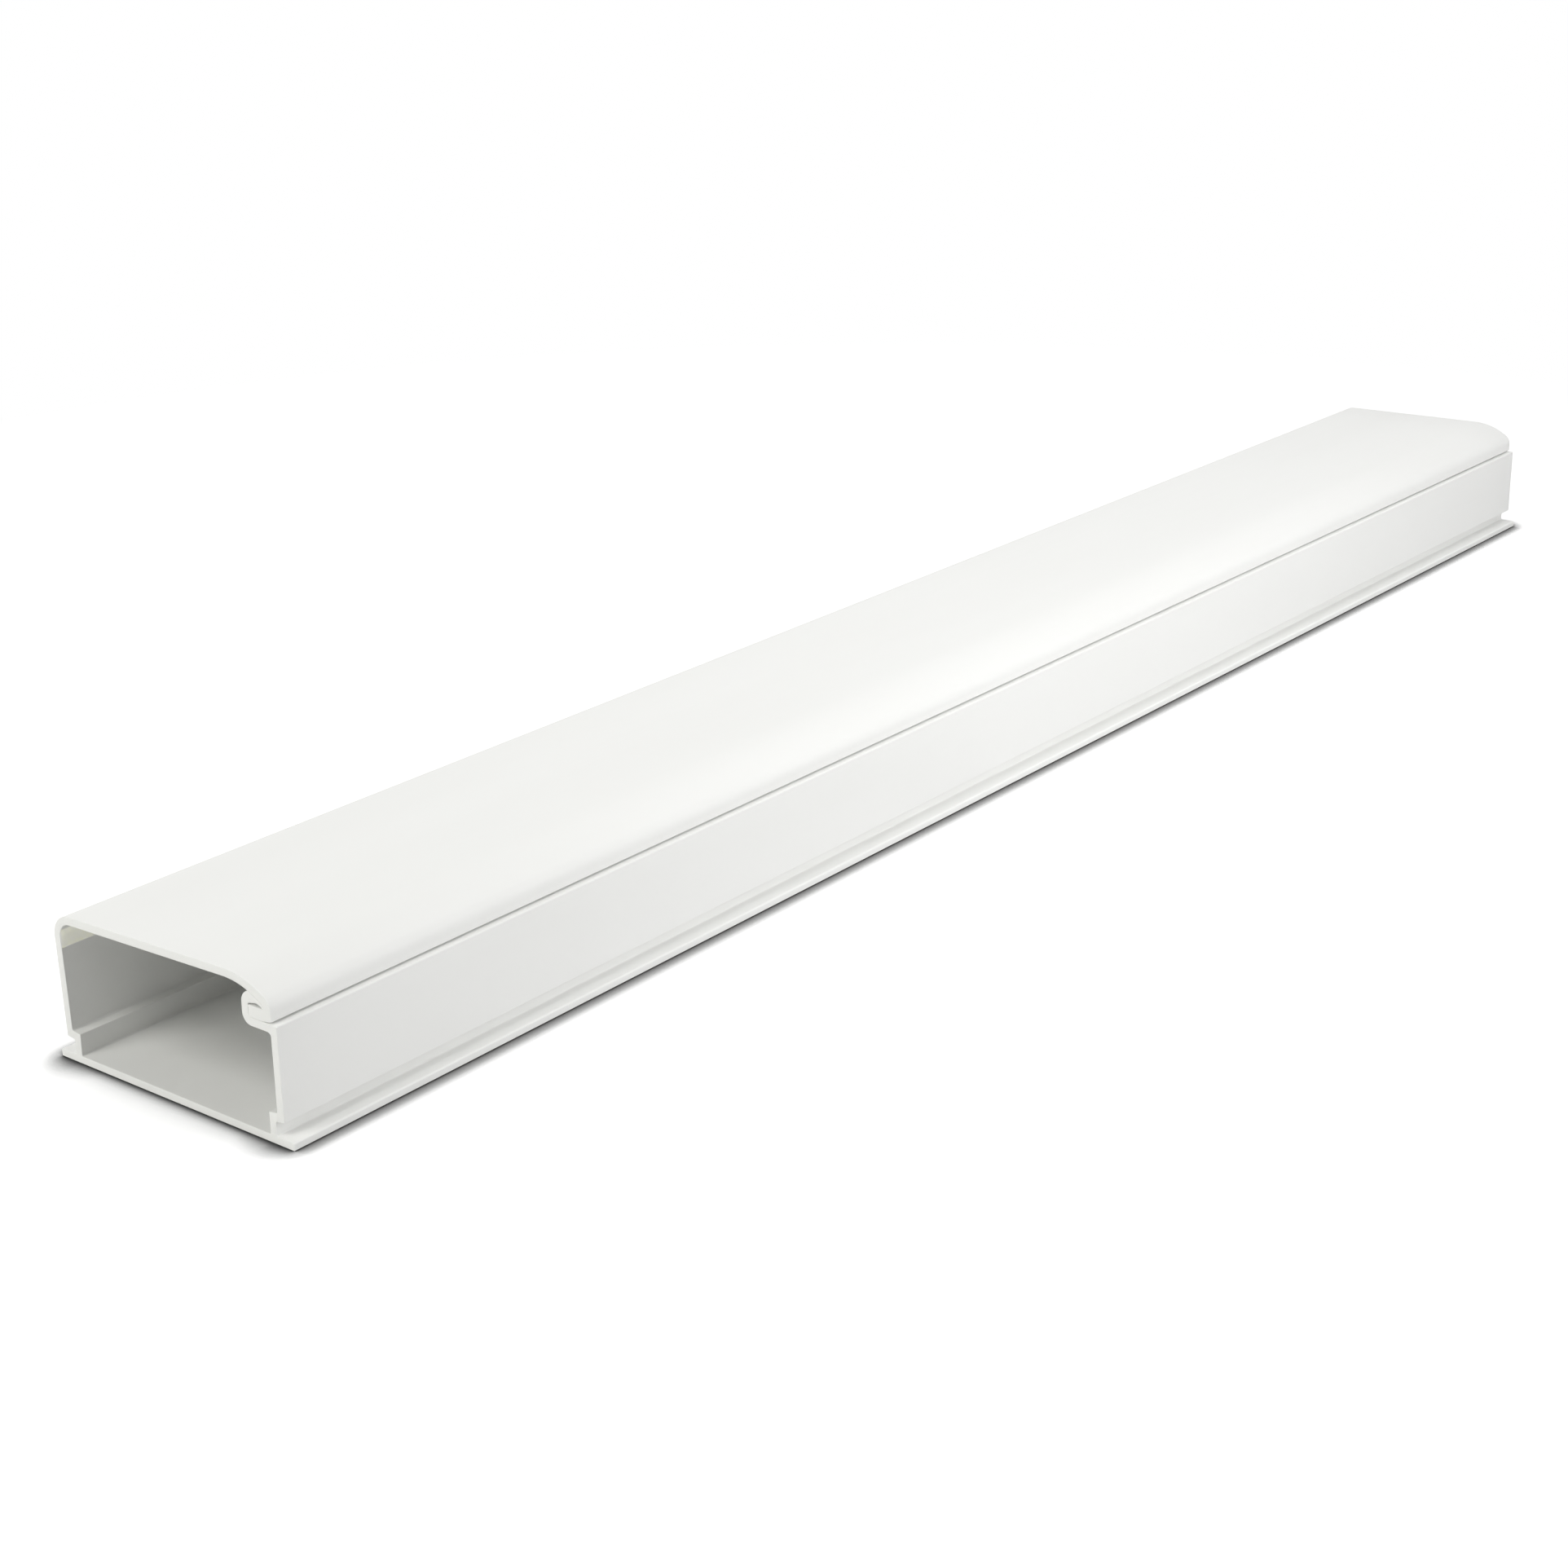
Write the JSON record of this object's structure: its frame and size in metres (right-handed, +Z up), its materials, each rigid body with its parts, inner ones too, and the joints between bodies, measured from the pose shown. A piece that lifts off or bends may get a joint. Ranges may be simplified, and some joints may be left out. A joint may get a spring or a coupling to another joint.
{
  "type": "cord cover raceway",
  "caption": "Straight length of white hinged and latching cable raceway with a flanged base, stepped walls and a rounded lid that hooks into a catch along one side.",
  "frame": {"origin": "middle of the base's underside", "axes": "+X along the length, +Z up from the base to the lid, latch on the -Y side and hinge corner on the +Y side"},
  "size_m": [0.5, 0.0604, 0.03],
  "materials": {
    "pvc": "white extruded PVC, satin"
  },
  "bodies": {
    "root": {"raceway": "pvc"}
  },
  "joints": []
}
